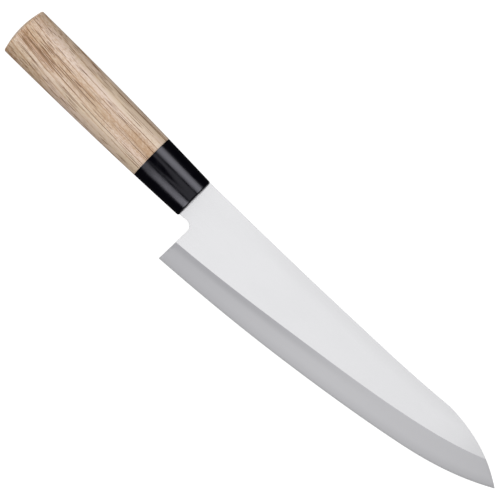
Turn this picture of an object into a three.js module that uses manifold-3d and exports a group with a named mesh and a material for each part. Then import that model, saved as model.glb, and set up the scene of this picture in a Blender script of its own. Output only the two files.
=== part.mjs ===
// A gyuto, the Japanese chef's knife: a stamped and ground blade whose hidden tang is
// cemented into a one-piece oval wooden handle, capped in front by a black resin ferrule.
// Millimetres. The knife lies on its side: +X runs from butt to tip along the handle's
// axis, +Y from the cutting edge to the spine, and +Z up, square to the blade's flats.
// Inside the group x = 0 is the ferrule's front face, y = 0 the handle's axis and z = 0
// the blade's mid-plane. The group then stands on z = 0, centred under its own box.

import * as THREE from "three";
import { mergeVertices } from "three/addons/utils/BufferGeometryUtils.js";
import Module from "manifold-3d";

// Space left between neighbouring pieces
const SEAT_GAP = 0.3;

// Blade lines, each a list of knots [x, y, slope] joined by cubics
const SPINE_LINE = [
  [SEAT_GAP, 11.73, 0.008],
  [100, 13.16, 0.029],
  [172, 16.52, 0.097],
];
const BACK_LINE = [
  [172, 16.52, -0.045],
  [218.4, 2.28, -0.684],
];
const EDGE_LINE = [
  [8.4, -35.25, 0.062],
  [90, -27.8, 0.127],
  [165, -16.07, 0.194],
  [218.4, 2.28, 0.553],
];
const BEVEL_LINE = [
  [8.4, -22.9, 0.072],
  [90, -13.6, 0.138],
  [165, -1.55, 0.214],
  [206, 10.8, 0.435],
];

// Blade sections
const BLADE_THICKNESS = 2.0;
const EDGE_BEVEL_WIDTH = 0.7;
const EDGE_BEVEL_THICKNESS = 0.24;
const GRIND_STOCK = 1;

// Notch between neck and choil: an arc that runs into the leaning choil and the sloped neck
const NOTCH_CENTRE = [5.1, -14.8];
const NOTCH_RADIUS = 4.1;
const CHOIL_LEAN = 0.039;
const NECK_LEAN = 0.1;
const NECK_BOTTOM_Y = -11.15;

// Tang, a flat bar that tapers towards the butt
const TANG_LENGTH = 90;
const TANG_ROOT_HEIGHT = 9;
const TANG_END_HEIGHT = 6;

// Handle and ferrule share one oval outline: the sides are long arcs, widest at the belly
const JOINT_X = -31.5;
const BELLY_X = -117.8;
const BELLY_HALF_HEIGHT = 14.35;
const SIDE_RADIUS = 2950;
const OVAL_RATIO = 0.79;

// Butt: a shallow dome inside a rounded rim
const BUTT_X = -127.6;
const DOME_RISE = 1.9;
const RIM_RADIUS = 0.9;

// Ferrule
const FERRULE_FRONT_WALL = 6;
const FERRULE_RIM_RADIUS = 1.1;

// Tenon on the front of the handle, and the bore that takes the tang
const TENON_HEIGHT = 18;
const TENON_THICKNESS = 13;
const BORE_HEIGHT = 12;
const BORE_THICKNESS = 5;
const BORE_END_X = -94;

// How far a cutter or a joined piece runs past the face that it cuts or joins
const OVERRUN = 1;

// Fineness of the solids
const OVAL_SIDES = 40;
const CURVE_STEPS = 10;
const GRIND_STEP = 6;
const RIM_STEPS = 3;
const FERRULE_STEPS = 6;
const HANDLE_STEPS = 12;
const DOME_SHARES = [0.05, 0.35, 0.7];

const wasm = await Module();
wasm.setup();

// A closed geometry as a solid, with its shared corners merged
function solidOf(geometry) {
  const bare = new THREE.BufferGeometry();
  bare.setAttribute("position", geometry.getAttribute("position"));
  bare.setIndex(geometry.getIndex());
  const merged = mergeVertices(bare, 1e-4);
  return new wasm.Manifold(
    new wasm.Mesh({
      numProp: 3,
      vertProperties: new Float32Array(merged.getAttribute("position").array),
      triVerts: new Uint32Array(merged.getIndex().array),
    }),
  );
}

// A solid back as a flat-shaded geometry
function geometryOf(solid) {
  const { numProp, vertProperties, triVerts } = solid.getMesh();
  const corners = new Float32Array(triVerts.length * 3);
  triVerts.forEach((vertex, i) => {
    corners.set(vertProperties.subarray(vertex * numProp, vertex * numProp + 3), i * 3);
  });
  const geometry = new THREE.BufferGeometry();
  geometry.setAttribute("position", new THREE.BufferAttribute(corners, 3));
  geometry.computeVertexNormals();
  return geometry;
}

// The cubic between two knots, which keeps both slopes
function cubicBetween([x0, y0, slope0], [x1, y1, slope1]) {
  const third = (x1 - x0) / 3;
  return new THREE.CubicBezierCurve(
    new THREE.Vector2(x0, y0),
    new THREE.Vector2(x0 + third, y0 + third * slope0),
    new THREE.Vector2(x1 - third, y1 - third * slope1),
    new THREE.Vector2(x1, y1),
  );
}

// A whole line through its knots, as a path
function lineThrough(knots) {
  const path = new THREE.CurvePath();
  knots.slice(1).forEach((knot, i) => path.add(cubicBetween(knots[i], knot)));
  return path;
}

// A line's points from its first knot to its last
function pointsOn(knots) {
  return lineThrough(knots).getPoints(CURVE_STEPS);
}

// A line's height at x. It runs straight on past its last knot and before its first
function heightAt(knots, x) {
  const first = knots[0];
  const last = knots[knots.length - 1];
  if (x <= first[0]) return first[1] + (x - first[0]) * first[2];
  if (x >= last[0]) return last[1] + (x - last[0]) * last[2];
  const i = knots.findIndex((knot) => knot[0] > x) - 1;
  const share = (x - knots[i][0]) / (knots[i + 1][0] - knots[i][0]);
  return cubicBetween(knots[i], knots[i + 1]).getPoint(share).y;
}

// A skin over rings of equally many points, closed at both ends by fans
function skinOver(rings) {
  const count = rings[0].length;
  const positions = [];
  const faces = [];
  rings.forEach((ring) => ring.forEach((point) => positions.push(...point)));
  for (let r = 0; r + 1 < rings.length; r++) {
    for (let i = 0; i < count; i++) {
      const a = r * count + i;
      const b = r * count + ((i + 1) % count);
      faces.push(a, b, b + count, a, b + count, a + count);
    }
  }
  [0, rings.length - 1].forEach((r) => {
    const centre = positions.length / 3;
    const mean = [0, 1, 2].map((axis) => rings[r].reduce((sum, p) => sum + p[axis], 0) / count);
    positions.push(...mean);
    for (let i = 0; i < count; i++) {
      const a = r * count + i;
      const b = r * count + ((i + 1) % count);
      faces.push(centre, ...(r === 0 ? [b, a] : [a, b]));
    }
  });
  const geometry = new THREE.BufferGeometry();
  geometry.setAttribute("position", new THREE.Float32BufferAttribute(positions, 3));
  geometry.setIndex(faces);
  return geometry;
}

// A shape drawn across the handle, y to the spine and z up, drawn out along x
function drawnAlongX(shape, fromX, toX) {
  const geometry = new THREE.ExtrudeGeometry(shape, {
    depth: toX - fromX,
    bevelEnabled: false,
    curveSegments: OVAL_SIDES / 4,
  });
  return geometry.rotateX(Math.PI / 2).rotateZ(Math.PI / 2).translate(fromX, 0, 0);
}

// A plan shape made a flat plate of this thickness about z = 0
function plate(shape, thickness) {
  const geometry = new THREE.ExtrudeGeometry(shape, {
    depth: thickness,
    bevelEnabled: false,
    curveSegments: CURVE_STEPS,
  });
  return geometry.translate(0, 0, -thickness / 2);
}

function oval(height, thickness) {
  return new THREE.Shape().absellipse(0, 0, height / 2, thickness / 2, 0, 2 * Math.PI);
}

// A slot with round ends
function roundEndedSlot(height, thickness) {
  const radius = thickness / 2;
  const reach = height / 2 - radius;
  const shape = new THREE.Shape();
  shape.absarc(reach, 0, radius, -Math.PI / 2, Math.PI / 2);
  shape.absarc(-reach, 0, radius, Math.PI / 2, (3 * Math.PI) / 2);
  return shape;
}

// Half the height of the oval at x
function halfHeightAt(x) {
  const ahead = Math.max(x - BELLY_X, 0);
  return BELLY_HALF_HEIGHT - ahead ** 2 / (2 * SIDE_RADIUS);
}

// The oval ring at x, drawn in by inset from the common outline
function ovalRing(x, inset = 0) {
  const height = halfHeightAt(x) - inset;
  const thickness = halfHeightAt(x) * OVAL_RATIO - inset;
  return Array.from({ length: OVAL_SIDES }, (_, i) => {
    const turn = (2 * Math.PI * i) / OVAL_SIDES;
    return [x, height * Math.cos(turn), thickness * Math.sin(turn)];
  });
}

// Rings from one x to another, evenly spaced
function ovalRings(fromX, toX, steps) {
  return Array.from({ length: steps + 1 }, (_, i) =>
    ovalRing(THREE.MathUtils.lerp(fromX, toX, i / steps)),
  );
}

// Rings round a rim: from a ring drawn in by the radius to the full outline
function rimRings(fromX, toX, radius) {
  return Array.from({ length: RIM_STEPS }, (_, i) => {
    const turn = (Math.PI / 2) * (i / RIM_STEPS);
    const x = THREE.MathUtils.lerp(fromX, toX, 1 - Math.cos(turn));
    return ovalRing(x, radius * (1 - Math.sin(turn)));
  });
}

// The tang in plan, larger all round by margin, from its end to x
function tangShape(margin, toX) {
  const root = TANG_ROOT_HEIGHT / 2 + margin;
  const end = TANG_END_HEIGHT / 2 + margin;
  const endX = -TANG_LENGTH - margin;
  return new THREE.Shape([
    new THREE.Vector2(endX, -end),
    new THREE.Vector2(toX, -root),
    new THREE.Vector2(toX, root),
    new THREE.Vector2(endX, end),
  ]);
}

// The blade's blank before grinding, with its stock still below the edge line
function bladeBlank() {
  const [tipX, tipY, edgeSlope] = EDGE_LINE[EDGE_LINE.length - 1];
  const backSlope = BACK_LINE[BACK_LINE.length - 1][2];
  const run = GRIND_STOCK / (edgeSlope - backSlope);
  const lowEdge = EDGE_LINE.map(([x, y, slope]) => [x, y - GRIND_STOCK, slope]);
  lowEdge[lowEdge.length - 1] = [tipX + run, tipY + run * backSlope, edgeSlope];
  const shape = new THREE.Shape([
    ...pointsOn(SPINE_LINE),
    ...pointsOn(BACK_LINE).slice(1),
    ...pointsOn(lowEdge).reverse(),
  ]);
  shape.absarc(...NOTCH_CENTRE, NOTCH_RADIUS, -CHOIL_LEAN, Math.PI / 2 + NECK_LEAN);
  shape.lineTo(SEAT_GAP, NECK_BOTTOM_Y);
  shape.lineTo(SEAT_GAP, -TANG_ROOT_HEIGHT / 2);
  shape.lineTo(-TANG_LENGTH, -TANG_END_HEIGHT / 2);
  shape.lineTo(-TANG_LENGTH, TANG_END_HEIGHT / 2);
  shape.lineTo(SEAT_GAP, TANG_ROOT_HEIGHT / 2);
  return plate(shape, BLADE_THICKNESS);
}

// What one grind takes off one side, +1 above or -1 below: all that lies outside the ruled
// surface from the low line, at half-thickness lowHalf, to the high line, at highHalf. The
// surface is run on by reach times its own width past both lines
function groundAway(side, lowAt, lowHalf, highAt, highHalf, reach) {
  const fromX = EDGE_LINE[0][0] - GRIND_STEP;
  const toX = EDGE_LINE[EDGE_LINE.length - 1][0] + GRIND_STEP;
  const steps = Math.round((toX - fromX) / GRIND_STEP);
  const top = 2 * BLADE_THICKNESS;
  const rings = Array.from({ length: steps + 1 }, (_, i) => {
    const x = THREE.MathUtils.lerp(fromX, toX, i / steps);
    const width = highAt(x) - lowAt(x);
    const lowY = lowAt(x) - reach * width;
    const highY = highAt(x) + reach * width;
    const lowZ = lowHalf - reach * (highHalf - lowHalf);
    const highZ = highHalf + reach * (highHalf - lowHalf);
    const ring = [
      [x, lowY, side * lowZ],
      [x, highY, side * highZ],
      [x, highY, side * top],
      [x, lowY, side * top],
    ];
    return side > 0 ? ring : ring.reverse();
  });
  return skinOver(rings);
}

function makeBlade() {
  const edgeAt = (x) => heightAt(EDGE_LINE, x);
  const edgeBevelAt = (x) => edgeAt(x) + EDGE_BEVEL_WIDTH;
  const bevelAt = (x) => heightAt(BEVEL_LINE, x);
  const halfThickness = BLADE_THICKNESS / 2;
  const edgeHalf = EDGE_BEVEL_THICKNESS / 2;
  const bevelReach = 0.25;
  const edgeBevelReach = 3;
  let blade = solidOf(bladeBlank());
  [1, -1].forEach((side) => {
    const bevel = groundAway(side, edgeBevelAt, edgeHalf, bevelAt, halfThickness, bevelReach);
    const edgeBevel = groundAway(side, edgeAt, 0, edgeBevelAt, edgeHalf, edgeBevelReach);
    blade = blade.subtract(solidOf(bevel)).subtract(solidOf(edgeBevel));
  });
  return geometryOf(blade);
}

function makeFerrule() {
  const backX = JOINT_X + SEAT_GAP / 2;
  const rings = [
    ...ovalRings(backX, -FERRULE_RIM_RADIUS, FERRULE_STEPS),
    ...rimRings(0, -FERRULE_RIM_RADIUS, FERRULE_RIM_RADIUS).reverse(),
  ];
  const socket = oval(TENON_HEIGHT + 2 * SEAT_GAP, TENON_THICKNESS + 2 * SEAT_GAP);
  const slot = plate(tangShape(SEAT_GAP, OVERRUN), BLADE_THICKNESS + 2 * SEAT_GAP);
  const ferrule = solidOf(skinOver(rings))
    .subtract(solidOf(drawnAlongX(socket, JOINT_X - OVERRUN, -FERRULE_FRONT_WALL)))
    .subtract(solidOf(slot));
  return geometryOf(ferrule);
}

function makeHandle() {
  const rimX = BUTT_X + DOME_RISE + RIM_RADIUS;
  const domeX = BUTT_X + DOME_RISE;
  const shoulderX = JOINT_X - SEAT_GAP / 2;
  const domeRim = ovalRing(domeX, RIM_RADIUS);
  const domeRings = DOME_SHARES.map((share) =>
    domeRim.map(([, y, z]) => [BUTT_X + DOME_RISE * share ** 2, y * share, z * share]),
  );
  const rings = [
    ...domeRings,
    ...rimRings(domeX, rimX, RIM_RADIUS),
    ...ovalRings(rimX, shoulderX, HANDLE_STEPS),
  ];
  const tenonX = -FERRULE_FRONT_WALL - SEAT_GAP;
  const tenon = drawnAlongX(oval(TENON_HEIGHT, TENON_THICKNESS), shoulderX - OVERRUN, tenonX);
  const bore = drawnAlongX(roundEndedSlot(BORE_HEIGHT, BORE_THICKNESS), BORE_END_X, 0);
  return geometryOf(solidOf(skinOver(rings)).add(solidOf(tenon)).subtract(solidOf(bore)));
}

// The hardened cement that fills the bore round the tang
function makeTangAdhesive() {
  const height = BORE_HEIGHT - 2 * SEAT_GAP;
  const thickness = BORE_THICKNESS - 2 * SEAT_GAP;
  const frontX = -FERRULE_FRONT_WALL - SEAT_GAP;
  const plug = drawnAlongX(roundEndedSlot(height, thickness), BORE_END_X + SEAT_GAP, frontX);
  const pocket = plate(tangShape(SEAT_GAP, 0), BLADE_THICKNESS + 2 * SEAT_GAP);
  return geometryOf(solidOf(plug).subtract(solidOf(pocket)));
}

// Finishes
const satinSteel = new THREE.MeshStandardMaterial({ color: 0xd8d8dc, roughness: 0.35, metalness: 1 });
const blackResin = new THREE.MeshStandardMaterial({ color: 0x0b0b0d, roughness: 0.18, metalness: 0 });
const paleWood = new THREE.MeshStandardMaterial({ color: 0xc8af9b, roughness: 0.6, metalness: 0 });
const amberCement = new THREE.MeshStandardMaterial({ color: 0xb9a271, roughness: 0.5, metalness: 0 });

function piece(name, geometry, material) {
  const mesh = new THREE.Mesh(geometry, material);
  mesh.name = name;
  return mesh;
}

const knife = new THREE.Group();
knife.add(
  piece("blade", makeBlade(), satinSteel),
  piece("ferrule", makeFerrule(), blackResin),
  piece("handle", makeHandle(), paleWood),
  piece("tang_adhesive", makeTangAdhesive(), amberCement),
);

// Stand the knife on z = 0, centred under its own box
const box = new THREE.Box3().setFromObject(knife, true);
const centre = box.getCenter(new THREE.Vector3());
knife.position.set(-centre.x, -centre.y, -box.min.z);

export default knife;
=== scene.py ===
"""A gyuto kitchen knife, dressed for its picture.

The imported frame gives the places. Every visible piece is a numpy surface in that frame:
the blade is ruled bevels and a carried rim round two plain flats, and the ferrule and the
handle are ovals carried along the handle's axis. All finishes are procedural.
"""

import math

import bmesh
import bpy
import numpy as np
from bpy.props import FloatProperty, FloatVectorProperty, PointerProperty
from bpy.types import NodeSocket, Operator, Panel, PropertyGroup
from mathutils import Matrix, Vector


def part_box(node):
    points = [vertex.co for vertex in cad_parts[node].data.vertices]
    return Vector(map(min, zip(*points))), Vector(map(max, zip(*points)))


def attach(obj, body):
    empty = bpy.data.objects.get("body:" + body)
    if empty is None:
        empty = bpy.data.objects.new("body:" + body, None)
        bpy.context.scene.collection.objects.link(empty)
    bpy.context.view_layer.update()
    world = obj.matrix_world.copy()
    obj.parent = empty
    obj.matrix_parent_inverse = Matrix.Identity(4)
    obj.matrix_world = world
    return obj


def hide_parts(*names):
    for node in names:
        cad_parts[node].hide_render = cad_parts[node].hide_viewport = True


bl_info = {
    "name": "Gyuto knife",
    "version": (1, 0, 0),
    "blender": (4, 5, 0),
    "location": "3D View > Sidebar > Gyuto",
    "description": "Builds a gyuto knife's blade, ferrule and handle round a packed frame",
    "category": "Add Mesh",
}

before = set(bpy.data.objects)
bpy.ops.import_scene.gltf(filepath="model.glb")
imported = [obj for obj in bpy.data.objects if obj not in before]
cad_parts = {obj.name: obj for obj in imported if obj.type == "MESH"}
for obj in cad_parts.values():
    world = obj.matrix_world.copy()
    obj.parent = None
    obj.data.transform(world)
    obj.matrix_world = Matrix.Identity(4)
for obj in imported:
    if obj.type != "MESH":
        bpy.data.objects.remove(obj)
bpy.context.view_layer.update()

MM = 0.001

# Gap that the solids keep between neighbouring pieces
CAD_GAP = 0.3 * MM

# The knife's own axes start on the handle's axis, at the ferrule's front face
BLADE_LOW, BLADE_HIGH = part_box("blade")
FERRULE_LOW, FERRULE_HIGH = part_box("ferrule")
HANDLE_LOW, HANDLE_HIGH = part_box("handle")
CEMENT_LOW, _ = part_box("tang_adhesive")
ORIGIN = np.array([
    FERRULE_HIGH.x,
    (FERRULE_LOW.y + FERRULE_HIGH.y) / 2,
    (BLADE_LOW.z + BLADE_HIGH.z) / 2,
])

# Blade lines in millimetres, each a list of knots (x, y, slope) joined by cubics
SPINE_LINE = ((0.3, 11.73, 0.008), (100, 13.16, 0.029), (172, 16.52, 0.097))
BACK_LINE = ((172, 16.52, -0.045), (218.4, 2.28, -0.684))
EDGE_LINE = ((8.4, -35.25, 0.062), (90, -27.8, 0.127), (165, -16.07, 0.194), (218.4, 2.28, 0.553))
BEVEL_LINE = ((8.4, -22.9, 0.072), (90, -13.6, 0.138), (165, -1.55, 0.214), (206, 10.8, 0.435))

# Notch between neck and choil, an arc from the leaning choil to the sloped neck
NOTCH_CENTRE = np.array([5.1, -14.8])
NOTCH_TURN = (-0.039, math.pi / 2 + 0.1)


# Sizes and colours


def length(name, description, metres):
    """A length setting."""
    return FloatProperty(
        name=name, description=description, default=metres, unit="LENGTH", precision=5
    )


def colour(name, description, rgb):
    """A linear colour setting."""
    return FloatVectorProperty(
        name=name, description=description, default=rgb, subtype="COLOR", size=3, min=0, max=1
    )


def number(name, description, value):
    """A plain number setting that isn't negative."""
    return FloatProperty(name=name, description=description, default=value, min=0)


class BladeSettings(PropertyGroup):
    """Sizes and colours of the blade."""

    thickness: length("Thickness", "Thickness between the flats", BLADE_HIGH.z - BLADE_LOW.z)
    rim_radius: length("Eased rim", "Radius of the eased spine, choil and neck", 0.12 * MM)
    edge_width: length("Honed edge", "Width of the honed strip along the edge", 0.7 * MM)
    edge_thickness: length("Edge thickness", "Thickness where the honed strip starts", 0.24 * MM)
    hollow: length("Hollow", "Depth of the slight hollow in the ground bevel", 0.04 * MM)
    notch_radius: length("Notch", "Radius between the neck and the choil", 4.1 * MM)
    neck_bottom: length("Neck bottom", "Height of the neck's lower corner", -11.15 * MM)
    tang_length: length("Tang length", "Length of the hidden tang", ORIGIN[0] - BLADE_LOW.x)
    tang_root: length("Tang root", "Height of the tang at the neck", 9 * MM)
    tang_end: length("Tang end", "Height of the tang at its end", 6 * MM)
    flat_colour: colour("Flats", "Satin steel of the flats", (0.822, 0.822, 0.838))
    bevel_heel: colour("Bevel at the heel", "Ground steel of the bevel, heel end", (0.521, 0.519, 0.54))
    bevel_tip: colour("Bevel at the tip", "Ground steel of the bevel, tip end", (0.602, 0.6, 0.62))
    # Painted shade along the bevel's two rims, also the colour of the bevel's scratch flecks
    bevel_shade_and_fleck: colour("Bevel rims", "Ground steel along the bevel's two rims", (0.447, 0.445, 0.465))
    rim_colour: colour("Rim", "Steel of the eased spine, choil and neck", (0.92, 0.92, 0.93))
    edge_colour: colour("Edge", "Steel of the honed edge", (0.59, 0.59, 0.605))


class FerruleSettings(PropertyGroup):
    """Sizes and colour of the black ferrule."""

    back: length("Joint", "Place of the joint with the handle", FERRULE_LOW.x - ORIGIN[0] - CAD_GAP / 2)
    front_wall: length("Front wall", "Wall in front of the tenon", ORIGIN[0] - HANDLE_HIGH.x - CAD_GAP)
    rim_radius: length("Front rim", "Radius of the front rim", 1.1 * MM)
    back_radius: length("Back rim", "Radius of the rim at the joint", 0.12 * MM)
    seam: length("Seam", "Gap that shows between the ferrule and its neighbours", 0.04 * MM)
    colour: colour("Resin", "Black resin", (0.0006, 0.0005, 0.0015))


class HandleSettings(PropertyGroup):
    """Sizes and colours of the wooden handle."""

    butt: length("Butt", "Place of the butt's dome", HANDLE_LOW.x - ORIGIN[0])
    belly: length("Belly", "Place of the widest section", -117.8 * MM)
    belly_height: length("Belly height", "Height of the widest section", HANDLE_HIGH.y - HANDLE_LOW.y)
    belly_thickness: length("Belly thickness", "Its thickness", HANDLE_HIGH.z - HANDLE_LOW.z)
    side_radius: length("Side radius", "Radius of the long arcs of the sides", 2950 * MM)
    dome_rise: length("Dome", "Rise of the butt's shallow dome", 1.9 * MM)
    rim_radius: length("Butt rim", "Radius of the butt's rounded rim", 0.9 * MM)
    joint_radius: length("Joint rim", "Radius of the rim at the joint", 0.15 * MM)
    tenon_height: length("Tenon height", "Height of the oval tenon", 18 * MM)
    tenon_thickness: length("Tenon thickness", "Thickness of the oval tenon", 13 * MM)
    bore_height: length("Bore height", "Height of the bore for the tang", 12 * MM)
    bore_thickness: length("Bore thickness", "Width of the bore for the tang", 5 * MM)
    bore_end: length("Bore end", "Place where the bore ends", CEMENT_LOW.x - CAD_GAP - ORIGIN[0])
    layer: length("Growth layer", "Thickness of one year's growth", 2.75 * MM)
    pale: colour("Pale wood", "Pale, slightly pink wood", (0.488, 0.381, 0.311))
    gold: colour("Golden wood", "Pale, slightly golden wood", (0.462, 0.366, 0.264))
    tan: colour("Tan wood", "Warmer wood of the early growth", (0.325, 0.2, 0.112))
    pore: colour("Pores", "Dark wood in the open pores", (0.115, 0.048, 0.018))


class StageSettings(PropertyGroup):
    """Camera, light and floor."""

    lens: FloatProperty(
        name="Lens", description="Focal length of the camera", default=200, min=20, unit="CAMERA"
    )
    view_width: length("View width", "Width of the picture at the blade", 261.85 * MM)
    view_x: length("View x", "Middle of the picture along the knife", 39.46 * MM)
    view_y: length("View y", "Middle of the picture across the knife", 1.41 * MM)
    view_turn: FloatProperty(
        name="Turn",
        description="Turn of the camera about its line of sight",
        default=math.radians(44.55),
        subtype="ANGLE",
    )
    softbox: number("Softboxes", "Radiance of the softboxes along their middle lines", 5.4)
    softbox_fade: number("Softbox fade", "Share of that radiance lost at their rims", 0.65)
    gap_start: length("Gap start", "Start of the gap between the edge's two softboxes", -170 * MM)
    gap_end: length("Gap end", "End of that gap, counted from the picture's middle", -55 * MM)
    overhead: number("Overhead", "Radiance of the panel overhead", 0.95)
    tent: number("Blade tent", "Radiance of the four walls that light the blade alone", 0.6)
    ferrule_panel: number("Ferrule panels", "Radiance of the two panels that light the ferrule alone", 0.5)
    butt_fill: number("Butt fill", "Radiance of the low panel past the butt", 9)
    floor_glow: number("Floor glow", "Light that the white floor gives off", 0.96)


# Blade lines and sections


def line_height(knots, x):
    """Height of a blade line at x: the cubic between two knots that keeps both slopes, and a
    straight run past the first and the last knot."""
    knot_x, knot_y, slope = np.array(knots, float).T
    i = np.clip(np.searchsorted(knot_x, x) - 1, 0, len(knot_x) - 2)
    span = knot_x[i + 1] - knot_x[i]
    t = np.clip((x - knot_x[i]) / span, 0, 1)
    ends = knot_y[i] * (1 + 2 * t) * (1 - t) ** 2 + knot_y[i + 1] * t**2 * (3 - 2 * t)
    bends = span * (slope[i] * t * (1 - t) ** 2 - slope[i + 1] * t**2 * (1 - t))
    past = x - np.clip(x, knot_x[0], knot_x[-1])
    return ends + bends + past * np.where(past > 0, slope[-1], slope[0])


def top_line(x):
    """Height of the spine and the back at x: the lower of the two lines, with their corner
    softened as the lower branch of a hyperbola."""
    corner = 0.25
    spine = line_height(SPINE_LINE, x)
    back = line_height(BACK_LINE, x)
    return (spine + back - np.sqrt((spine - back) ** 2 + corner**2)) / 2


def notch_arc(radius, steps):
    """Points of the notch's arc, from the choil up to the neck."""
    turn = np.linspace(*NOTCH_TURN, steps)
    return NOTCH_CENTRE + radius * np.c_[np.cos(turn), np.sin(turn)]


class BladeSection:
    """The blade's cross-section in millimetres, from its settings."""

    def __init__(self, blade):
        self.half = blade.thickness / MM / 2
        self.edge_half = blade.edge_thickness / MM / 2
        self.edge_width = blade.edge_width / MM
        self.hollow = blade.hollow / MM
        self.rim = blade.rim_radius / MM

    def bevel_height(self, across, x):
        """Height y of a line that lies a share across the ground bevel: 0 on the honed
        strip's upper line, 1 on the bevel line, and -1 on the cutting edge."""
        edge = line_height(EDGE_LINE, x)
        low = edge + self.edge_width
        ground = low + across * (line_height(BEVEL_LINE, x) - low)
        return np.where(across < 0, edge, ground)

    def half_thickness(self, across):
        """Half the thickness at a share across the bevel: a straight ramp less a shallow
        parabola for the hollow, and 0 on the cutting edge."""
        ramp = self.edge_half + across * (self.half - self.edge_half)
        ground = ramp - 4 * self.hollow * across * (1 - across)
        return np.where(across < 0, 0, ground)

    def ease(self, half):
        """Radius of the eased rim where the blade has this half-thickness, smaller where the
        blade is too thin for the full one."""
        largest_share = 0.45
        return np.minimum(self.rim, largest_share * half)


# Meshes


def grid_faces(rows, columns, start=0, closed=False):
    """Quads between neighbouring rows of a grid of points, counted row by row from start.
    A closed grid also joins its last column to its first."""
    row, column = np.meshgrid(
        np.arange(rows - 1), np.arange(columns if closed else columns - 1), indexing="ij"
    )
    here = start + row * columns + column
    right = start + row * columns + (column + 1) % columns
    quads = np.stack([here, right, right + columns, here + columns], axis=-1)
    return quads.reshape(-1, 4).tolist()


def add_piece(name, points, faces, materials, node, groups=None, flat_groups=(), marks=None):
    """Makes a mesh from points in the knife's own millimetres, merges what meets, turns its
    faces outwards and lets it stand for its CAD node. groups holds each face's material, those
    in flat_groups aren't shaded smooth, and marks are named values of each point that the
    finishes read."""
    mesh = bpy.data.meshes.new(name)
    mesh.from_pydata((np.asarray(points) * MM + ORIGIN).tolist(), [], faces)
    for material in materials:
        mesh.materials.append(material)
    group = np.zeros(len(faces), np.int32) if groups is None else np.asarray(groups, np.int32)
    mesh.polygons.foreach_set("material_index", group)
    mesh.polygons.foreach_set("use_smooth", ~np.isin(group, flat_groups))
    for mark, values in (marks or {}).items():
        attribute = mesh.attributes.new(mark, "FLOAT", "POINT")
        attribute.data.foreach_set("value", np.asarray(values, np.float32))
    edit = bmesh.new()
    edit.from_mesh(mesh)
    bmesh.ops.remove_doubles(edit, verts=edit.verts, dist=1e-6)
    bmesh.ops.dissolve_degenerate(edit, edges=edit.edges, dist=1e-7)
    bmesh.ops.recalc_face_normals(edit, faces=edit.faces)
    edit.to_mesh(mesh)
    edit.free()
    piece = bpy.data.objects.new(name, mesh)
    bpy.context.scene.collection.objects.link(piece)
    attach(piece, "root")
    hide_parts(node)


# Blade

# Groups of the blade's faces, in the order of their finishes
FLAT, BEVEL, HONED, RIM = range(4)


def choil_place(radius, y):
    """Place x of the leaning choil at height y: straight from the heel to the notch."""
    heel_x, heel_y = EDGE_LINE[0][:2]
    notch_x, notch_y = notch_arc(radius, 2)[0]
    return heel_x + (y - heel_y) * (notch_x - heel_x) / (notch_y - heel_y)


def neck_outline(blade, neck_x):
    """The blade's outline between the bevel line on the choil and the spine: up the choil,
    round the notch, along the neck to its end at neck_x, and round the tang inside the handle."""
    radius = blade.notch_radius / MM
    root = blade.tang_root / MM / 2
    end = blade.tang_end / MM / 2
    tang_x = -blade.tang_length / MM
    notch = notch_arc(radius, 16)
    choil_y = np.linspace(BEVEL_LINE[0][1], notch[0, 1], 9)[1:-1]
    choil = np.c_[choil_place(radius, choil_y), choil_y]
    neck = np.array([
        (neck_x, blade.neck_bottom / MM),
        (neck_x, -root),
        (tang_x, -end),
        (tang_x, end),
        (neck_x, root),
        (neck_x, top_line(np.array(neck_x))),
    ])
    return np.vstack([choil, notch, neck])


def inward_normals(path):
    """Unit normals to the right of a path, mitred where it turns."""
    step = np.diff(path, axis=0)
    step /= np.linalg.norm(step, axis=1, keepdims=True)
    side = np.c_[step[:, 1], -step[:, 0]]
    before = np.vstack([side[:1], side])
    after = np.vstack([side, side[-1:]])
    return (before + after) / (1 + (before * after).sum(axis=1, keepdims=True))


def bevel_ends(blade, section, across, ease):
    """Where each line across the bevel starts at the choil and ends at the back. Gives both
    ends on the outline and, drawn in by the eased rim, on the bevel itself."""
    radius = blade.notch_radius / MM

    # The lines rise along the blade and the choil leans, so they meet after a few rounds
    left_x = np.full(across.shape, EDGE_LINE[0][0])
    for _ in range(4):
        left_x = choil_place(radius, section.bevel_height(across, left_x)) + ease
    left = np.c_[left_x, section.bevel_height(across, left_x)]
    left_rim = left - np.c_[ease, np.zeros_like(ease)]

    # The back is searched every 0.01 mm along its last stretch, for where each line meets it
    stretch = 30
    tip_x = EDGE_LINE[-1][0]
    probe = np.linspace(tip_x - stretch, tip_x, 100 * stretch + 1)
    top = top_line(probe)
    slope = np.gradient(top, probe)
    drawn_in = top - ease[:, None] * np.sqrt(1 + slope**2)
    gap = drawn_in - section.bevel_height(across[:, None], probe)
    right_x = np.array([np.interp(0, -row, probe) for row in gap])
    right_x[0] = tip_x
    right = np.c_[right_x, section.bevel_height(across, right_x)]
    lean = np.interp(right_x, probe, slope)
    outward = np.c_[-lean, np.ones_like(lean)] / np.sqrt(1 + lean**2)[:, None]
    return left, left_rim, right, right + ease[:, None] * outward


def rim_strip(section, path, inner, half):
    """A quarter round, a wall and a quarter round, carried along the outline. inner is the
    outline drawn in by the eased rim, and half the half-thickness at each point."""
    turn = np.linspace(np.pi / 2, 0, 7)
    inset = 1 - np.cos(turn)
    drop = 1 - np.sin(turn)
    plan = path[:, None] + inset[None, :, None] * (inner - path)[:, None]
    height = half[:, None] - drop * section.ease(half)[:, None]
    upper = np.concatenate([plan, height[..., None]], axis=-1)
    lower = upper[:, ::-1] * (1, 1, -1)
    return np.concatenate([upper, lower], axis=1)


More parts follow.
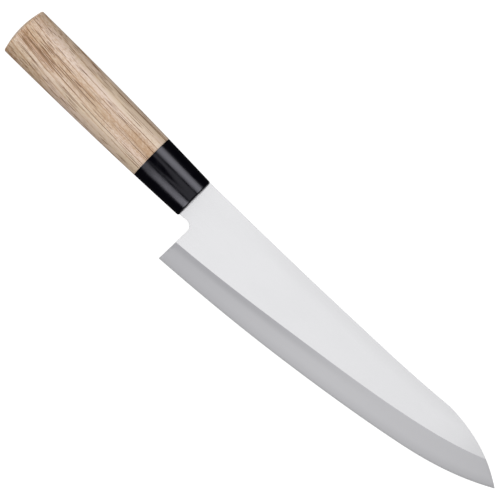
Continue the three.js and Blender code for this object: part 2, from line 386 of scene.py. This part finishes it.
def blade_surface(blade, ferrule):
    """Points, faces, face groups and bevel shares of the blade, in millimetres.

    The bevel is a grid over the place along the blade and the share across the bevel, and its
    lowest row of faces is the honed edge. The rim is carried along the outline. The two flats
    are plain faces inside the rim and above the bevel line."""
    section = BladeSection(blade)
    across = np.concatenate([[-1], np.linspace(0, 1, 15)])
    half = section.half_thickness(across)
    left, left_rim, right, right_rim = bevel_ends(blade, section, across, section.ease(half))
    rows = len(across)

    columns = 121
    t = np.linspace(0, 1, columns)
    x = left[:, :1] + t * (right[:, :1] - left[:, :1])
    y = section.bevel_height(across[:, None], x)
    z = np.broadcast_to(half[:, None], x.shape)
    bevel = np.stack([x, y, z], axis=-1).reshape(-1, 3)

    # Stations along spine and back, closer together near the corner between them
    first_x = 2
    corner_x = BACK_LINE[0][0]
    near = 8
    spine_x = np.concatenate([
        np.linspace(first_x, corner_x - near, 82),
        np.linspace(corner_x - near + 1, corner_x + near, 31),
        np.linspace(corner_x + near + 1, right_rim[-1, 0], 24)[:-1],
    ])
    spine = np.c_[spine_x, top_line(spine_x)]
    neck = neck_outline(blade, ferrule.seam / MM)
    path = np.vstack([left_rim, neck, spine, right_rim[::-1]])
    count = len(path)
    path_half = np.concatenate([half, np.full(count - 2 * rows, section.half), half[::-1]])
    inner = path + section.ease(path_half)[:, None] * inward_normals(path)
    inner[:rows] = left
    inner[-rows:] = right[::-1]
    strip = rim_strip(section, path, inner, path_half)
    profile = strip.shape[1]

    # Each flat runs along the rim's inner line and back along the bevel line
    rim_start = 2 * len(bevel)
    ring = rim_start + np.arange(rows - 1, count - rows + 1) * profile
    bevel_top = (rows - 1) * columns + np.arange(columns - 2, 0, -1)
    upper_flat = np.concatenate([ring, bevel_top]).tolist()
    lower_flat = np.concatenate([ring + profile - 1, bevel_top + len(bevel)]).tolist()

    points = np.vstack([bevel, bevel * (1, 1, -1), strip.reshape(-1, 3)])
    side = grid_faces(rows, columns)
    rim_faces = grid_faces(count, profile, rim_start)
    faces = side + grid_faces(rows, columns, len(bevel)) + rim_faces + [upper_flat, lower_flat]
    row = columns - 1
    side_groups = [HONED] * row + [BEVEL] * (len(side) - row)
    groups = 2 * side_groups + [RIM] * len(rim_faces) + [FLAT, FLAT]
    shares = np.ones(len(points))
    shares[:rim_start] = np.tile(np.repeat(np.maximum(across, 0), columns), 2)
    return points, faces, groups, shares


# Ovals carried along the handle's axis

AROUND = 192

# Squareness of the bore and of the tang's slot, where 2 is an oval
BORE_SQUARENESS = 4
SLOT_SQUARENESS = 12


def oval_rings(x, height, thickness, squareness=2):
    """Rings of an oval, one for each x: y is half the height times the cosine of the turn, and
    z half the thickness times its sine. A higher squareness raises cosine and sine to 2 over
    it, with their signs kept, for a slot with rounded corners."""
    turn = 2 * np.pi * np.arange(AROUND) / AROUND
    circle = np.stack([np.cos(turn), np.sin(turn)])
    y, z = np.sign(circle) * np.abs(circle) ** (2 / squareness) / 2
    x, height, thickness = np.broadcast_arrays(np.asarray(x, float), height, thickness)
    ring_x = np.repeat(x[:, None], AROUND, axis=1)
    return np.stack([ring_x, np.outer(height, y), np.outer(thickness, z)], axis=-1)


def outline_rings(handle, x, inset):
    """Rings of the outline that handle and ferrule share, drawn in by inset. Half the height
    falls off ahead of the belly as a long arc, and the thickness keeps its share of it."""
    ahead = np.maximum(x - handle.belly / MM, 0)
    height = handle.belly_height / MM - ahead**2 / (handle.side_radius / MM)
    ratio = handle.belly_thickness / handle.belly_height
    return oval_rings(x, height - 2 * inset, height * ratio - 2 * inset)


def rounded(radius, steps):
    """Inset and run of a quarter round, from its drawn-in end to its full end."""
    turn = np.linspace(0, np.pi / 2, steps)
    return radius * (1 - np.sin(turn)), radius * (1 - np.cos(turn))


def closed_tube(rings):
    """Points and faces of rings joined in order, and the last one to the first."""
    rings = np.concatenate([rings, rings[:1]])
    return rings.reshape(-1, 3), grid_faces(len(rings), AROUND, closed=True)


def capped_tube(rings):
    """Points and faces of rings joined in order, with a fan over each end."""
    rows = len(rings)
    points = np.vstack([rings.reshape(-1, 3), rings[0].mean(axis=0), rings[-1].mean(axis=0)])
    faces = grid_faces(rows, AROUND, closed=True)
    turn = np.arange(AROUND)
    for centre, start in ((rows * AROUND, 0), (rows * AROUND + 1, (rows - 1) * AROUND)):
        fan = np.c_[np.full(AROUND, centre), start + turn, start + (turn + 1) % AROUND]
        faces += fan.tolist()
    return points, faces


def handle_surface(handle, ferrule):
    """The handle as rings from the butt's middle over the dome and the rim, along the sides to
    the shoulder, out along the tenon and back down the bore."""
    seam = ferrule.seam / MM
    butt = handle.butt / MM
    dome = handle.dome_rise / MM
    radius = handle.rim_radius / MM
    joint_radius = handle.joint_radius / MM
    shoulder = ferrule.back / MM - seam / 2
    tenon_x = -ferrule.front_wall / MM - seam
    dome_x = butt + dome
    share = np.linspace(0.02, 1, 12)[:-1, None, None]
    inset, run = rounded(radius, 8)
    rim = outline_rings(handle, dome_x + run, inset)
    dome_rings = rim[:1] * (0, 1, 1) * share + (butt + dome * share**2) * (1, 0, 0)
    side_x = np.linspace(dome_x + radius, shoulder - joint_radius, 90)[1:-1]
    sides = outline_rings(handle, side_x, 0)
    inset, run = rounded(joint_radius, 5)
    joint_rim = outline_rings(handle, shoulder - run[::-1], inset[::-1])
    tenon = oval_rings((shoulder, tenon_x), handle.tenon_height / MM, handle.tenon_thickness / MM)
    bore = oval_rings(
        (tenon_x, handle.bore_end / MM),
        handle.bore_height / MM,
        handle.bore_thickness / MM,
        BORE_SQUARENESS,
    )
    return np.concatenate([dome_rings, rim, sides, joint_rim, tenon, bore])


def ferrule_surface(handle, ferrule, blade):
    """The ferrule as rings that close on themselves: along the outside to the front rim, in
    over the front face to the tang's slot, through the wall, and back along the socket."""
    seam = ferrule.seam / MM
    radius = ferrule.rim_radius / MM
    back_radius = ferrule.back_radius / MM
    back = ferrule.back / MM + seam / 2
    wall = -ferrule.front_wall / MM
    inset, run = rounded(back_radius, 5)
    back_rim = outline_rings(handle, back + run, inset)
    sides = outline_rings(handle, np.linspace(back + back_radius, -radius, 40)[1:-1], 0)
    inset, run = rounded(radius, 10)
    front_rim = outline_rings(handle, -run[::-1], inset[::-1])
    slot = oval_rings(
        (0, wall),
        blade.tang_root / MM + 2 * seam,
        blade.thickness / MM + 2 * seam,
        SLOT_SQUARENESS,
    )
    socket = oval_rings(
        (wall, back), handle.tenon_height / MM + 2 * seam, handle.tenon_thickness / MM + 2 * seam
    )
    return np.concatenate([back_rim, sides, front_rim, slot, socket])


# Finishes


class Tree:
    """A node tree, built step by step."""

    def __init__(self, tree):
        self.tree = tree

    def add(self, kind, **values):
        """A new node, with its own settings."""
        node = self.tree.nodes.new(kind)
        for name, value in values.items():
            setattr(node, name, value)
        return node

    def put(self, socket, value):
        """Links a socket to another one, or sets it to a value."""
        if isinstance(value, NodeSocket):
            self.tree.links.new(value, socket)
        else:
            socket.default_value = value

    def plug(self, node, **inputs):
        """Fills a node's inputs by name, with underscores for spaces, and gives its output."""
        for name, value in inputs.items():
            self.put(node.inputs[name.replace("_", " ")], value)
        return node.outputs[0]

    def axes(self, vector):
        """The three axes of a vector."""
        node = self.add("ShaderNodeSeparateXYZ")
        self.plug(node, Vector=vector)
        return node.outputs

    def math(self, operation, *values):
        """One step of arithmetic."""
        node = self.add("ShaderNodeMath", operation=operation)
        for socket, value in zip(node.inputs, values):
            self.put(socket, value)
        return node.outputs[0]

    def product(self, *shares):
        """All of these shares multiplied."""
        value = shares[0]
        for share in shares[1:]:
            value = self.math("MULTIPLY", value, share)
        return value

    def total(self, start, *parts):
        """A start value plus each of these shares times its weight."""
        value = start
        for share, weight in parts:
            value = self.math("MULTIPLY_ADD", share, weight, value)
        return value


class Finish(Tree):
    """A material. Its place is the point on the piece in the knife's own axes, in metres."""

    def __init__(self, name):
        self.material = bpy.data.materials.new(name)
        self.material.use_nodes = True
        super().__init__(self.material.node_tree)
        coordinates = self.add("ShaderNodeTexCoord")
        centred = self.add("ShaderNodeMapping", vector_type="POINT")
        self.place = self.plug(centred, Vector=coordinates.outputs["Object"], Location=tuple(-ORIGIN))

    def settle(self, **inputs):
        """Fills inputs of the shader itself."""
        self.plug(self.tree.nodes["Principled BSDF"], **inputs)

    def ramp(self, value, low, high, to_low=0.0, to_high=1.0):
        """A smooth step of value from low to high."""
        node = self.add("ShaderNodeMapRange", interpolation_type="SMOOTHSTEP")
        limits = {"From_Min": low, "From_Max": high, "To_Min": to_low, "To_Max": to_high}
        return self.plug(node, Value=value, **limits)

    def between(self, place, start, end, to_start=0.0, to_end=1.0):
        """A smooth step between two places in millimetres."""
        return self.ramp(place, start * MM, end * MM, to_start, to_end)

    def mapped(self, scale, place=None, turn=(0, 0, 0), shift=(0, 0, 0)):
        """A place scaled, turned and shifted."""
        node = self.add("ShaderNodeMapping", vector_type="POINT")
        vector = self.place if place is None else place
        return self.plug(node, Vector=vector, Scale=scale, Rotation=turn, Location=shift)

    def noise(self, place, detail=2.0, roughness=0.5):
        """Noise at a mapped place, about 0 to 1."""
        node = self.add("ShaderNodeTexNoise")
        return self.plug(node, Vector=place, Scale=1.0, Detail=detail, Roughness=roughness)

    def mix(self, share, first, second):
        """A colour between two others."""
        node = self.add("ShaderNodeMix", data_type="RGBA")
        self.put(node.inputs[0], share)
        for socket, value in zip(node.inputs[6:8], (first, second)):
            self.put(socket, value if isinstance(value, NodeSocket) else (*value, 1))
        return node.outputs[2]

    def mottle(self, noise, colour, share):
        """A colour that goes down to a share of itself where the noise is low."""
        return self.mix(self.ramp(noise, 0.3, 0.7), dimmed(colour, share), colour)

    def bump(self, height, distance, strength):
        """A normal bumped by height."""
        node = self.add("ShaderNodeBump")
        return self.plug(node, Height=height, Distance=distance, Strength=strength)

    def vessels(self, grain, spacing, reach, crowd, few, many):
        """Long dark vessels. Across the grain they are dots round scattered points, one to each
        cell of a spacing, with a radius of reach cells. Along the grain each has noise of its
        own, and is open where that noise is under a level, which crowd moves from few to many."""
        cell = self.add("ShaderNodeTexVoronoi", voronoi_dimensions="2D")
        self.plug(cell, Vector=self.mapped((1 / spacing, 1 / spacing, 1), grain), Scale=1.0)
        core = self.ramp(cell.outputs["Distance"], reach, 0.6 * reach)

        # Each vessel reads a stretch of one long noise, from a start drawn for its cell
        waves_per_metre = 20
        spread = 80
        draw, _, _ = self.axes(cell.outputs["Color"])
        _, _, along = self.axes(grain)
        run = self.math("MULTIPLY_ADD", along, waves_per_metre, self.math("MULTIPLY", draw, spread))
        noise = self.add("ShaderNodeTexNoise", noise_dimensions="1D")
        gate = self.plug(noise, W=run, Scale=1.0, Detail=1.0)
        level = self.total(few, (crowd, many - few))
        return self.product(core, self.ramp(self.math("SUBTRACT", gate, level), 0.02, -0.02))


def dimmed(colour, share):
    """A share of a colour."""
    return [share * value for value in colour]


def satin_flat_steel(blade):
    """Satin stainless flats with faint hairlines along the blade. Painted shade darkens them a little
    towards the tip and under the spine, whose line is close to a parabola."""
    finish = Finish("satin_flat_steel")
    x, y, _ = finish.axes(finish.place)
    # Painted shade under the spine and towards the tip, darker still at the point
    spine = finish.math("MULTIPLY_ADD", finish.product(x, x), 0.163, 11.7 * MM)
    below_spine = finish.between(finish.math("SUBTRACT", spine, y), 9, 1)
    below_spine = finish.product(below_spine, finish.between(x, 10, 70))
    painted_shade = finish.math("MAXIMUM", below_spine, finish.between(x, 165, 190, 0.0, 0.7))
    point_shade = finish.between(x, 184, 203)
    hairline = finish.noise(finish.mapped((40, 5200, 5200)), detail=3)
    cloud = finish.noise(finish.mapped((30, 60, 60)))
    tone = finish.mottle(cloud, blade.flat_colour, 0.985)
    # The painted shade is mixed into the flats' colour here
    tone = finish.mix(painted_shade, tone, dimmed(blade.flat_colour, 0.935))
    tone = finish.mix(point_shade, tone, dimmed(blade.flat_colour, 0.865))
    finish.settle(
        Base_Color=tone,
        Metallic=1.0,
        Roughness=finish.ramp(hairline, 0.25, 0.75, 0.17, 0.21),
        Normal=finish.bump(hairline, 0.002 * MM, 0.05),
    )
    return finish.material


def ground_bevel_steel(blade):
    """The ground bevel, greyer than the flats, with fine scratches square to the edge. It gets lighter
    towards the tip, and painted shade darkens its lower rim and, near the heel, its upper."""
    finish = Finish("ground_bevel_steel")
    share = finish.add("ShaderNodeAttribute", attribute_name="across_bevel").outputs["Fac"]
    x, _, _ = finish.axes(finish.place)
    scratch = finish.noise(finish.mapped((3600, 90, 90), turn=(0, 0, math.radians(-12))), detail=3)
    # Painted shade along the lower rim, and near the heel along the upper rim
    low_rim_shade = finish.product(finish.ramp(share, 0.4, 0.0), 0.4)
    high_rim_shade = finish.product(finish.ramp(share, 0.6, 0.88), finish.between(x, 170, 30, 0.0, 0.9))
    tone = finish.mix(finish.between(x, 0, 130), blade.bevel_heel, blade.bevel_tip)
    tone = finish.mix(finish.math("MAXIMUM", low_rim_shade, high_rim_shade), tone, blade.bevel_shade_and_fleck)
    fleck = finish.product(finish.ramp(scratch, 0.5, 0.8), 0.03)
    finish.settle(
        Base_Color=finish.mix(fleck, tone, blade.bevel_shade_and_fleck),
        Metallic=1.0,
        Roughness=finish.ramp(scratch, 0.25, 0.75, 0.275, 0.295),
        Normal=finish.bump(scratch, 0.003 * MM, 0.02),
    )
    return finish.material


def honed_edge_steel(blade):
    """The honed strip along the cutting edge."""
    finish = Finish("honed_edge_steel")
    scratch = finish.noise(finish.mapped((5000, 200, 200)))
    finish.settle(
        Base_Color=finish.mottle(scratch, blade.edge_colour, 0.88),
        Metallic=1.0,
        Roughness=finish.ramp(scratch, 0.25, 0.75, 0.25, 0.35),
    )
    return finish.material


def eased_rim_steel(blade):
    """The eased spine, choil and neck, ground along their length."""
    finish = Finish("eased_rim_steel")
    scratch = finish.noise(finish.mapped((60, 900, 5200)), detail=3)
    finish.settle(
        Base_Color=finish.mottle(scratch, blade.rim_colour, 0.92),
        Metallic=1.0,
        Roughness=finish.ramp(scratch, 0.25, 0.75, 0.6, 0.7),
    )
    return finish.material


def black_resin(ferrule):
    """Polished black resin with faint polishing marks."""
    finish = Finish("black_resin")
    cloud = finish.noise(finish.mapped((160, 420, 420)), detail=3)
    swirl = finish.noise(finish.mapped((60, 260, 260)))
    finish.settle(
        Base_Color=(*ferrule.colour, 1),
        IOR=1.42,
        Specular_Tint=(0.9, 0.89, 1.0, 1),
        Roughness=finish.ramp(cloud, 0.3, 0.7, 0.13, 0.2),
        Normal=finish.bump(swirl, 0.04 * MM, 0.3),
    )
    return finish.material


def wood_grain(finish):
    """Height in the grain, and the whole place in it: height, thickness and length. Going from
    butt to ferrule the grain sinks by a cube of the distance from the ferrule and by a slight
    slope, and its thickness follows the handle's taper."""
    x, y, z = finish.axes(finish.place)
    distance = finish.math("ADD", x, 35 * MM)
    cube = finish.product(distance, distance, distance)
    height = finish.math("MULTIPLY_ADD", cube, 4.9, finish.math("MULTIPLY_ADD", x, 0.025, y))
    thickness = finish.product(z, finish.math("MULTIPLY_ADD", x, 2.4, 1.2))
    return height, finish.plug(finish.add("ShaderNodeCombineXYZ"), X=height, Y=thickness, Z=x)


def growth_lines(finish, grain, layer):
    """Thin lines where the growth layers start. The layers are shells round a pith well below
    the cutting edge's level, so the lines are crests of a cosine of the distance from it, with
    some drift. They fade in and out along the grain."""
    drift = finish.noise(finish.mapped((60, 60, 8), grain))
    from_pith = finish.add("ShaderNodeVectorMath", operation="LENGTH")
    finish.put(from_pith.inputs[0], finish.mapped((1, 1, 0), grain, shift=(60.2 * MM, 0, 0)))
    depth = finish.math("MULTIPLY_ADD", drift, 1.6 * MM, from_pith.outputs["Value"])
    wave = finish.math("COSINE", finish.math("MULTIPLY", depth, 2 * math.pi / layer))
    fade = finish.noise(finish.mapped((350, 350, 12), grain, shift=(3, 1, 2)))
    return finish.product(finish.ramp(wave, 0.72, 1.0), finish.ramp(fade, 0.3, 0.55))


def open_pored_wood(handle):
    """Pale, ring-porous wood. Each growth layer starts in a thin tan line. Dark vessels run along
    the grain in broken stretches, most of them in those lines and in a warmer middle band."""
    finish = Finish("open_pored_wood")
    x, y, _ = finish.axes(finish.place)
    height, grain = wood_grain(finish)
    ring = growth_lines(finish, grain, handle.layer)

    def band(middle, near, far):
        """1 within near of a height in the grain, and 0 past far from it, in millimetres."""
        off = finish.math("ABSOLUTE", finish.math("SUBTRACT", height, middle * MM))
        return finish.between(off, far, near)

    # A warmer band along the middle, deepest at the butt, and by the ferrule a warm patch
    # between paler flanks
    middle = finish.product(band(-3.4, 1, 10), finish.between(x, -40, -115, 0.5, 0.65))
    front = finish.product(band(1, 1, 4.5), finish.between(x, -58, -41))
    beside = finish.between(finish.math("ABSOLUTE", y), 4, 8)
    flank = finish.product(beside, finish.between(x, -90, -65))

    # A cluster of vessels below the middle near the butt, browner wood along the spine's side,
    # at the butt's lower corner and in a strip before the butt, and painted light on the shaded dome
    cluster = finish.product(
        band(-7.5, 1.5, 3.6), finish.between(x, -92, -104), finish.between(x, -126.5, -121)
    )
    brown = finish.between(height, 5, 10)
    corner = finish.product(finish.between(height, -10, -14.5), finish.between(x, -85, -105))
    strip = finish.between(x, -112, -119)
    # Painted light that makes the butt's dome paler where it faces away from the lamps
    dome = finish.between(x, -125, -126.2)

    streak = finish.noise(finish.mapped((650, 650, 8), grain), detail=3, roughness=0.6)
    patch = finish.noise(finish.mapped((110, 70, 14), grain, shift=(1, 2, 3)))
    flush = finish.noise(finish.mapped((160, 120, 24), grain, shift=(5, 7, 1)))
    fibre = finish.noise(finish.mapped((1700, 1700, 700), grain), detail=3)
    warmth = finish.total(
        1.48,
        (ring, 0.5),
        (middle, 0.3),
        (front, 0.4),
        (flank, -0.2),
        (cluster, 0.3),
        (brown, 0.12),
        (corner, 0.2),
        (strip, 0.12),
        (dome, -0.4),
        (streak, -0.5),
        (patch, -0.58),
        (fibre, -1.5),
    )

    crowd = finish.total(
        0.06, (ring, 0.7), (middle, 0.4), (cluster, 0.7), (front, 0.2), (brown, 0.25)
    )
    wide_vessel = finish.vessels(grain, 0.6 * MM, 0.37, crowd, 0.33, 0.58)
    fine_vessel = finish.vessels(grain, 0.4 * MM, 0.38, crowd, 0.38, 0.56)
    pore = finish.math("MAXIMUM", wide_vessel, finish.product(fine_vessel, 0.85))

    pale = finish.mix(finish.ramp(flush, 0.25, 0.75), handle.pale, handle.gold)
    tone = finish.mix(finish.ramp(warmth, 0.0, 1.0), pale, handle.tan)
    relief = finish.math("SUBTRACT", finish.product(fibre, 0.2), pore)
    finish.settle(
        Base_Color=finish.mix(pore, tone, handle.pore),
        Roughness=finish.ramp(pore, 0.0, 1.0, 0.38, 0.7),
        Normal=finish.bump(relief, 0.04 * MM, 0.4),
    )
    return finish.material


def amber_cement():
    """Hardened amber cement with small bubbles."""
    finish = Finish("amber_cement")
    cloud = finish.noise(finish.mapped((300, 300, 300)), detail=3)
    tone = finish.mix(finish.ramp(cloud, 0.3, 0.7), (0.40, 0.28, 0.11), (0.55, 0.42, 0.2))
    finish.settle(Base_Color=tone, Roughness=0.45, Normal=finish.bump(cloud, 0.1 * MM, 0.4))
    return finish.material


def white_floor(glow):
    """A plain white floor that gives off light, so that shadows fade on it."""
    finish = Finish("white_floor")
    finish.settle(
        Base_Color=(0.1, 0.1, 0.1, 1),
        Roughness=0.9,
        Emission_Color=(1, 1, 1, 1),
        Emission_Strength=glow,
    )
    return finish.material


def black_card():
    """A dull black card with a faint mottle."""
    finish = Finish("black_card")
    cloud = finish.noise(finish.mapped((30, 30, 30)))
    tone = finish.mix(cloud, (0.004, 0.004, 0.004), (0.008, 0.008, 0.008))
    finish.settle(Base_Color=tone, Roughness=0.9)
    return finish.material


# Stage, in metres

QUARTER_TURN = math.pi / 2


def add_card(name, corners, material):
    """A flat piece of the stage with these corners."""
    mesh = bpy.data.meshes.new(name)
    mesh.from_pydata(corners.tolist(), [], [tuple(range(len(corners)))])
    mesh.materials.append(material)
    card = bpy.data.objects.new(name, mesh)
    bpy.context.scene.collection.objects.link(card)
    return card


def add_floor(glow):
    """A wide white floor under the knife. Gloss and soft light don't see it."""
    reach = 8.0
    corners = reach * np.array([(-1, -1, 0), (1, -1, 0), (1, 1, 0), (-1, 1, 0)])
    floor = add_card("floor", corners, white_floor(glow))
    floor.visible_glossy = False
    floor.visible_diffuse = False


def add_flag():
    """A pointed black card above the handle, out of the camera's sight, that keeps the panel's
    light off the middle of the handle and of the ferrule's back."""
    back, shoulder, point = -0.30, -0.022, -0.008
    low, high = -0.032, 0.014
    above = 0.11
    plan = [(back, low), (shoulder, low), (point, (low + high) / 2), (shoulder, high), (back, high)]
    flag = add_card("flag", np.c_[plan, np.full(len(plan), above)] + ORIGIN, black_card())
    flag.visible_camera = False


def set_world():
    """A dim studio, with a white backdrop where the camera looks past the floor."""
    world = bpy.data.worlds.new("studio")
    bpy.context.scene.world = world
    world.use_nodes = True
    studio = Tree(world.node_tree)
    dim = studio.plug(world.node_tree.nodes["Background"], Color=(0.03, 0.03, 0.03, 1))
    white = studio.plug(studio.add("ShaderNodeBackground"), Color=(1, 1, 1, 1))
    seen = studio.add("ShaderNodeLightPath").outputs["Is Camera Ray"]
    mixed = studio.add("ShaderNodeMixShader")
    for socket, value in zip(mixed.inputs, (seen, dim, white)):
        studio.put(socket, value)
    studio.put(world.node_tree.nodes["World Output"].inputs["Surface"], mixed.outputs[0])


def add_lamp(name, size, distance, radiance, aim, lean=0.0, turn=0.0, fade=0.0, ends=(1, 1)):
    """A rectangular light at a distance from aim. It leans from the vertical towards the spine,
    and is then turned about the vertical. Its power is radiance times pi times its area. The
    radiance falls with the square of the distance from the light's long middle line, by the
    share fade at its rims. Along the light it goes from the first share in ends, over the
    handle, to the second, over the blade."""
    light = bpy.data.lights.new(name, "AREA")
    light.shape = "RECTANGLE"
    light.size, light.size_y = size
    light.energy = radiance * math.pi * size[0] * size[1]
    light.use_nodes = True
    glow = Tree(light.node_tree)
    along, across, _ = glow.axes(glow.add("ShaderNodeNewGeometry").outputs["Parametric"])
    off_middle = glow.math("MULTIPLY_ADD", across, 2, -1)
    fall = glow.math("MULTIPLY_ADD", glow.product(off_middle, off_middle), -fade, 1)
    level = glow.plug(glow.add("ShaderNodeMapRange"), Value=along, To_Min=ends[0], To_Max=ends[1])
    glow.plug(light.node_tree.nodes["Emission"], Strength=glow.product(fall, level))
    lamp = bpy.data.objects.new(name, light)
    bpy.context.scene.collection.objects.link(lamp)
    away = distance * math.sin(lean)
    height = distance * math.cos(lean)
    lamp.location = aim + np.array([-away * math.sin(turn), away * math.cos(turn), height])
    lamp.rotation_euler = (-lean, 0, turn)
    return lamp


def keep_light(lamps, group, piece, state):
    """Keeps lamps to one piece with the state INCLUDE, or off it with EXCLUDE."""
    kept = bpy.data.collections.new(group)
    kept.objects.link(bpy.data.objects[piece])
    kept.collection_objects[0].light_linking.link_state = state
    for lamp in lamps:
        lamp.light_linking.receiver_collection = kept


def add_softboxes(stage, aim):
    """Long softboxes that lean in from the spine's side and from the edge's. The edge's row has
    a gap, and is a little brighter past it, over the blade."""
    reach, width, distance = 0.7, 0.63, 1.0
    lean = math.radians(43)
    brighter = 1.15
    lamps = []
    for name, start, end, side, share in (
        ("spine_softbox", -reach, reach, lean, 1),
        ("edge_softbox_handle", -reach, stage.gap_start, -lean, 1),
        ("edge_softbox_blade", stage.gap_end, reach, -lean, brighter),
    ):
        middle = aim + np.array([(start + end) / 2, 0, 0])
        size = (end - start, width)
        radiance = share * stage.softbox
        lamps.append(add_lamp(name, size, distance, radiance, middle, side, fade=stage.softbox_fade))
    return lamps


def add_overhead(stage, aim):
    """A square panel straight above, a little brighter over the handle."""
    side, distance = 1.6, 2.4
    add_lamp("overhead_panel", (side, side), distance, stage.overhead, aim, ends=(1.1, 0.9))


def add_butt_fill(stage, aim):
    """A low panel past the butt. Gloss doesn't see it."""
    size, distance = (0.8, 0.34), 1.0
    lean = math.radians(80)
    lamp = add_lamp("butt_fill", size, distance, stage.butt_fill, aim, lean, QUARTER_TURN)
    lamp.visible_glossy = False
    return lamp


def add_round(name, sides, size, distance, radiance, aim, lean):
    """Like lights round aim, on its sides 0 past the spine, 1 past the butt, 2 past the edge or
    3 past the tip."""
    lamps = []
    for side in sides:
        turn = side * QUARTER_TURN
        lamps.append(add_lamp(f"{name}_{side}", size, distance, radiance, aim, lean, turn))
    return lamps


def add_blade_tent(stage, aim):
    """Four tall, upright walls round the knife."""
    distance, tall = 1.2, 3.6
    size = (2 * distance, tall)
    middle = aim + np.array([0, 0, tall / 2])
    return add_round("blade_tent", range(4), size, distance, stage.tent, middle, QUARTER_TURN)


def add_ferrule_panels(stage, aim):
    """Two long, low panels, one past the butt and one past the tip."""
    size, distance = (3.2, 0.5), 1.2
    lean = math.radians(78)
    return add_round("ferrule_panel", (1, 3), size, distance, stage.ferrule_panel, aim, lean)


def add_camera(stage, aim):
    """A camera straight above aim, as far off as its lens needs for the view's width."""
    data = bpy.data.cameras.new("camera")
    data.lens = stage.lens
    data.sensor_width = 36
    data.clip_end = 50
    camera = bpy.data.objects.new("camera", data)
    bpy.context.scene.collection.objects.link(camera)
    distance = stage.view_width * data.lens / data.sensor_width
    camera.location = (aim[0], aim[1], aim[2] + distance)
    camera.rotation_euler = (0, 0, stage.view_turn)
    bpy.context.scene.camera = camera


# Operators


class GYUTO_OT_blade(Operator):
    """Make the blade with its flats, bevels, eased rim and tang"""

    bl_idname = "gyuto.blade"
    bl_label = "Blade"

    def execute(self, context):
        blade = context.scene.gyuto_blade
        points, faces, groups, shares = blade_surface(blade, context.scene.gyuto_ferrule)
        makers = (satin_flat_steel, ground_bevel_steel, honed_edge_steel, eased_rim_steel)
        add_piece(
            "blade_steel",
            points,
            faces,
            [make(blade) for make in makers],
            "blade",
            groups,
            flat_groups=(FLAT, HONED),
            marks={"across_bevel": shares},
        )
        return {"FINISHED"}


class GYUTO_OT_ferrule(Operator):
    """Make the black ferrule with its front rim, tang slot and socket"""

    bl_idname = "gyuto.ferrule"
    bl_label = "Ferrule"

    def execute(self, context):
        scene = context.scene
        rings = ferrule_surface(scene.gyuto_handle, scene.gyuto_ferrule, scene.gyuto_blade)
        points, faces = closed_tube(rings)
        material = black_resin(scene.gyuto_ferrule)
        add_piece("ferrule_cap", points, faces, [material], "ferrule")
        return {"FINISHED"}


class GYUTO_OT_handle(Operator):
    """Make the wooden handle with its domed butt, tenon and bore"""

    bl_idname = "gyuto.handle"
    bl_label = "Handle"

    def execute(self, context):
        scene = context.scene
        points, faces = capped_tube(handle_surface(scene.gyuto_handle, scene.gyuto_ferrule))
        material = open_pored_wood(scene.gyuto_handle)
        add_piece("handle_wood", points, faces, [material], "handle")
        return {"FINISHED"}


class GYUTO_OT_cement(Operator):
    """Give the hidden cement round the tang its finish"""

    bl_idname = "gyuto.cement"
    bl_label = "Tang cement"

    def execute(self, context):
        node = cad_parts["tang_adhesive"]
        node.data.materials.clear()
        node.data.materials.append(amber_cement())
        return {"FINISHED"}


class GYUTO_OT_stage(Operator):
    """Make the floor, the flag, the world, the lights and the camera"""

    bl_idname = "gyuto.stage"
    bl_label = "Stage"

    def execute(self, context):
        stage = context.scene.gyuto_stage
        aim = ORIGIN + np.array([stage.view_x, stage.view_y, 0])
        add_floor(stage.floor_glow)
        add_flag()
        set_world()
        lamps = add_softboxes(stage, aim)
        add_overhead(stage, aim)
        lamps.append(add_butt_fill(stage, aim))
        keep_light(lamps, "off_blade", "blade_steel", "EXCLUDE")
        keep_light(add_blade_tent(stage, aim), "on_blade", "blade_steel", "INCLUDE")
        keep_light(add_ferrule_panels(stage, aim), "on_ferrule", "ferrule_cap", "INCLUDE")
        add_camera(stage, aim)
        context.scene.view_settings.view_transform = "Standard"
        return {"FINISHED"}


# Rows of the panel: title, name of the settings in the scene, settings and operators
ROWS = (
    ("Blade", "gyuto_blade", BladeSettings, (GYUTO_OT_blade,)),
    ("Ferrule", "gyuto_ferrule", FerruleSettings, (GYUTO_OT_ferrule,)),
    ("Handle", "gyuto_handle", HandleSettings, (GYUTO_OT_handle, GYUTO_OT_cement)),
    ("Stage", "gyuto_stage", StageSettings, (GYUTO_OT_stage,)),
)


class GYUTO_PT_panel(Panel):
    """The knife's pieces and sizes"""

    bl_label = "Gyuto knife"
    bl_space_type = "VIEW_3D"
    bl_region_type = "UI"
    bl_category = "Gyuto"

    def draw(self, context):
        for title, name, settings, operators in ROWS:
            box = self.layout.box()
            box.label(text=title)
            for setting in settings.__annotations__:
                box.prop(getattr(context.scene, name), setting)
            for operator in operators:
                box.operator(operator.bl_idname)


def register():
    """Registers the classes and hangs the settings on the scene."""
    for _, name, settings, operators in ROWS:
        for item in (settings, *operators):
            bpy.utils.register_class(item)
        setattr(bpy.types.Scene, name, PointerProperty(type=settings))
    bpy.utils.register_class(GYUTO_PT_panel)


def unregister():
    """Takes the panel, the settings and the operators away again."""
    bpy.utils.unregister_class(GYUTO_PT_panel)
    for _, name, settings, operators in reversed(ROWS):
        delattr(bpy.types.Scene, name)
        for item in (*operators, settings):
            bpy.utils.unregister_class(item)


def main():
    register()
    bpy.ops.gyuto.blade()
    bpy.ops.gyuto.ferrule()
    bpy.ops.gyuto.handle()
    bpy.ops.gyuto.cement()
    bpy.ops.gyuto.stage()


if __name__ == "__main__":
    main()
